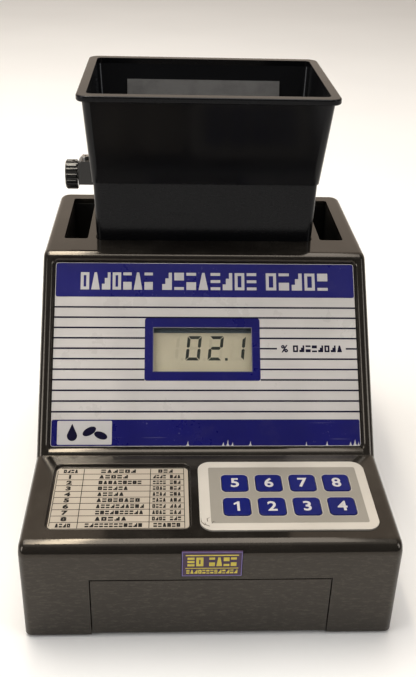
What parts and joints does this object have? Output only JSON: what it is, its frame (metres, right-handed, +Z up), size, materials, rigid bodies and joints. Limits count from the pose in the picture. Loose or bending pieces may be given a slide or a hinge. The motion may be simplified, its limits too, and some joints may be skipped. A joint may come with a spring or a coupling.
{
  "type": "grain moisture meter",
  "caption": "Bench-top grain moisture meter with sloped display panel, keypad deck, top hopper with a knob-turned gate, carry slots and a sample drawer.",
  "frame": {"origin": "centre of the footprint, on the bench surface under the rubber feet", "axes": "+Z up, -Y towards the keypad and sample drawer, +X to the right as seen from the front"},
  "size_m": [0.1658, 0.2214, 0.2101],
  "materials": {
    "case_plastic": "glossy moulded black",
    "cover_plastic": "satin black",
    "hopper_plastic": "glossy black",
    "drawer_plastic": "glossy black",
    "chute_plastic": "satin dark grey",
    "overlay_print": "laminated print",
    "keypad_print": "matt polycarbonate film",
    "key_blue": "satin blue",
    "label_print": "printed vinyl",
    "badge_print": "laminated print",
    "window_clear": "clear acrylic",
    "lcd": "display glass",
    "circuit_board": "solder mask",
    "component_black": "moulded",
    "connector_white": "moulded",
    "rubber_black": "soft",
    "silicone_strip": "soft",
    "screw_steel": "zinc plated",
    "stainless": "brushed",
    "brass_bush": "turned",
    "contact_nickel": "plated spring strip",
    "battery_wrap": "shrink sleeve",
    "knob_plastic": "moulded black"
  },
  "bodies": {
    "case": {"main_housing": "case_plastic", "back_cover": "cover_plastic", "base_plate": "cover_plastic", "rubber_feet": "rubber_black", "base_screws": "screw_steel", "back_screws": "screw_steel", "battery_holder": "component_black", "batteries": "battery_wrap", "battery_contacts": "contact_nickel", "switch_body": "component_black", "dc_jack": "component_black", "jack_nut": "contact_nickel", "main_board": "circuit_board", "board_screws": "screw_steel", "board_chips": "component_black", "board_connectors": "connector_white", "grip_cup_left": "cover_plastic", "grip_cup_right": "cover_plastic", "panel_overlay": "overlay_print", "display_window": "window_clear", "lcd_glass": "lcd", "lcd_holder": "component_black", "lcd_zebra_strips": "silicone_strip", "display_board": "circuit_board", "display_screws": "screw_steel", "keypad_overlay": "keypad_print", "keypad_board": "circuit_board", "keypad_screws": "screw_steel", "tact_switches": "component_black", "table_label": "label_print", "badge": "badge_print", "hopper_funnel": "hopper_plastic", "electrode_front": "stainless", "electrode_rear": "stainless", "electrode_screws": "screw_steel", "hopper_neck": "hopper_plastic", "gate_block": "knob_plastic", "block_screw": "screw_steel", "shaft_bush_right": "brass_bush", "chute": "chute_plastic", "neck_screws": "screw_steel", "drawer_rail_left": "chute_plastic", "drawer_rail_right": "chute_plastic"},
    "gate": {"gate_shaft": "stainless", "gate_flap": "hopper_plastic", "knob": "knob_plastic", "knob_set_screw": "screw_steel"},
    "drawer": {"sample_drawer": "drawer_plastic"},
    "battery_door": {"battery_door": "cover_plastic"},
    "power_rocker": {"power_rocker": "component_black"},
    "key_1": {"key_1": "key_blue"},
    "key_2": {"key_2": "key_blue"},
    "key_3": {"key_3": "key_blue"},
    "key_4": {"key_4": "key_blue"},
    "key_5": {"key_5": "key_blue"},
    "key_6": {"key_6": "key_blue"},
    "key_7": {"key_7": "key_blue"},
    "key_8": {"key_8": "key_blue"}
  },
  "joints": [
    {"name": "gate_turn", "type": "hinge", "parent": "case", "child": "gate", "pos_m": [0, 0.0645, 0.1573], "axis": [1, 0, 0], "range_deg": [0, 90]},
    {"name": "drawer_slide", "type": "slide", "parent": "case", "child": "drawer", "axis": [0, -1, 0], "range_m": [0, 0.105]},
    {"name": "battery_door_hinge", "type": "hinge", "parent": "case", "child": "battery_door", "pos_m": [-0.04, 0.1059, 0.0145], "axis": [-1, 0, 0], "range_deg": [0, 90]},
    {"name": "power_rocker_tilt", "type": "hinge", "parent": "case", "child": "power_rocker", "pos_m": [0.04, 0.1038, 0.03], "axis": [1, 0, 0], "range_deg": [-16, 0]},
    {"name": "key_1_press", "type": "slide", "parent": "case", "child": "key_1", "axis": [0, 0, -1], "range_m": [0, 0.0005], "stiffness_N_per_m": 1000},
    {"name": "key_2_press", "type": "slide", "parent": "case", "child": "key_2", "axis": [0, 0, -1], "range_m": [0, 0.0005], "stiffness_N_per_m": 1000},
    {"name": "key_3_press", "type": "slide", "parent": "case", "child": "key_3", "axis": [0, 0, -1], "range_m": [0, 0.0005], "stiffness_N_per_m": 1000},
    {"name": "key_4_press", "type": "slide", "parent": "case", "child": "key_4", "axis": [0, 0, -1], "range_m": [0, 0.0005], "stiffness_N_per_m": 1000},
    {"name": "key_5_press", "type": "slide", "parent": "case", "child": "key_5", "axis": [0, 0, -1], "range_m": [0, 0.0005], "stiffness_N_per_m": 1000},
    {"name": "key_6_press", "type": "slide", "parent": "case", "child": "key_6", "axis": [0, 0, -1], "range_m": [0, 0.0005], "stiffness_N_per_m": 1000},
    {"name": "key_7_press", "type": "slide", "parent": "case", "child": "key_7", "axis": [0, 0, -1], "range_m": [0, 0.0005], "stiffness_N_per_m": 1000},
    {"name": "key_8_press", "type": "slide", "parent": "case", "child": "key_8", "axis": [0, 0, -1], "range_m": [0, 0.0005], "stiffness_N_per_m": 1000}
  ]
}
